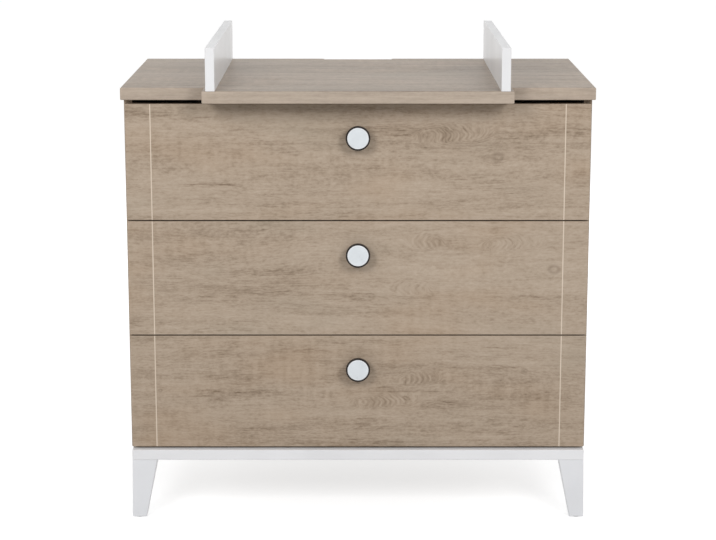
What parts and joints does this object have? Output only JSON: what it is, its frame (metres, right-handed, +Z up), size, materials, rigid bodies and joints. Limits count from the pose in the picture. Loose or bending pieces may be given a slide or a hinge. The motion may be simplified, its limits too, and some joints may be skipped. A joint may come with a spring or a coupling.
{
  "type": "changing dresser",
  "caption": "Nursery dresser with full-width drawers, a changing top that reaches forward between two side guards, and a low base frame on tapered legs.",
  "frame": {"origin": "on the floor, under the middle of the dresser's overall box", "axes": "+Z up, the drawers open towards -Y, +X to the right as seen from the front"},
  "size_m": [0.92, 0.577, 0.953],
  "materials": {
    "oak_decor": "satin oak decor board",
    "white_lacquer": "satin white",
    "white_melamine": "fine-grained white",
    "white_hardboard": "printed white hardboard",
    "beech": "raw turned beech",
    "cream_inlay": "satin strip",
    "knob_metal": "dark satin",
    "knob_disc": "satin white",
    "zinc_steel": "zinc plated",
    "glide_plastic": "moulded"
  },
  "bodies": {
    "carcass": {"top_panel": "oak_decor", "guard_left": "white_lacquer", "guard_right": "white_lacquer", "side_panel_left": "oak_decor", "side_panel_right": "oak_decor", "bottom_panel": "oak_decor", "back_panel": "white_hardboard", "rear_rail": "oak_decor", "base_rail_front": "white_lacquer", "base_rail_rear": "white_lacquer", "base_rail_left": "white_lacquer", "base_rail_right": "white_lacquer", "leg_front_left": "white_lacquer", "leg_front_right": "white_lacquer", "leg_rear_left": "white_lacquer", "leg_rear_right": "white_lacquer", "foot_glides": "glide_plastic", "cam_housings": "zinc_steel", "cam_bolts": "zinc_steel", "dowels": "beech", "guard_screws": "zinc_steel", "base_screws": "zinc_steel", "leg_bolts": "zinc_steel", "runner_screws": "zinc_steel", "runner_lower_cabinet": "zinc_steel", "runner_middle_cabinet": "zinc_steel", "runner_upper_cabinet": "zinc_steel"},
    "drawer_lower": {"drawer_lower_front": "oak_decor", "drawer_lower_inlays": "cream_inlay", "drawer_lower_side_left": "white_melamine", "drawer_lower_side_right": "white_melamine", "drawer_lower_back": "white_melamine", "drawer_lower_bottom": "white_hardboard", "drawer_lower_knob": "knob_metal", "drawer_lower_knob_cap": "knob_disc", "drawer_lower_knob_screw": "zinc_steel", "drawer_lower_runners": "zinc_steel"},
    "runner_lower": {"runner_lower_link": "zinc_steel"},
    "drawer_middle": {"drawer_middle_front": "oak_decor", "drawer_middle_inlays": "cream_inlay", "drawer_middle_side_left": "white_melamine", "drawer_middle_side_right": "white_melamine", "drawer_middle_back": "white_melamine", "drawer_middle_bottom": "white_hardboard", "drawer_middle_knob": "knob_metal", "drawer_middle_knob_cap": "knob_disc", "drawer_middle_knob_screw": "zinc_steel", "drawer_middle_runners": "zinc_steel"},
    "runner_middle": {"runner_middle_link": "zinc_steel"},
    "drawer_upper": {"drawer_upper_front": "oak_decor", "drawer_upper_inlays": "cream_inlay", "drawer_upper_side_left": "white_melamine", "drawer_upper_side_right": "white_melamine", "drawer_upper_back": "white_melamine", "drawer_upper_bottom": "white_hardboard", "drawer_upper_knob": "knob_metal", "drawer_upper_knob_cap": "knob_disc", "drawer_upper_knob_screw": "zinc_steel", "drawer_upper_runners": "zinc_steel"},
    "runner_upper": {"runner_upper_link": "zinc_steel"}
  },
  "joints": [
    {"name": "drawer_lower_slide", "type": "slide", "parent": "carcass", "child": "drawer_lower", "axis": [0, -1, 0], "range_m": [0, 0.45]},
    {"name": "runner_lower_slide", "type": "slide", "parent": "carcass", "child": "runner_lower", "axis": [0, -1, 0], "range_m": [0, 0.225]},
    {"name": "drawer_middle_slide", "type": "slide", "parent": "carcass", "child": "drawer_middle", "axis": [0, -1, 0], "range_m": [0, 0.45]},
    {"name": "runner_middle_slide", "type": "slide", "parent": "carcass", "child": "runner_middle", "axis": [0, -1, 0], "range_m": [0, 0.225]},
    {"name": "drawer_upper_slide", "type": "slide", "parent": "carcass", "child": "drawer_upper", "axis": [0, -1, 0], "range_m": [0, 0.45]},
    {"name": "runner_upper_slide", "type": "slide", "parent": "carcass", "child": "runner_upper", "axis": [0, -1, 0], "range_m": [0, 0.225]}
  ],
  "couplings": [
    {"joint": "runner_lower_slide", "follows": "drawer_lower_slide", "ratio": 0.5},
    {"joint": "runner_middle_slide", "follows": "drawer_middle_slide", "ratio": 0.5},
    {"joint": "runner_upper_slide", "follows": "drawer_upper_slide", "ratio": 0.5}
  ]
}
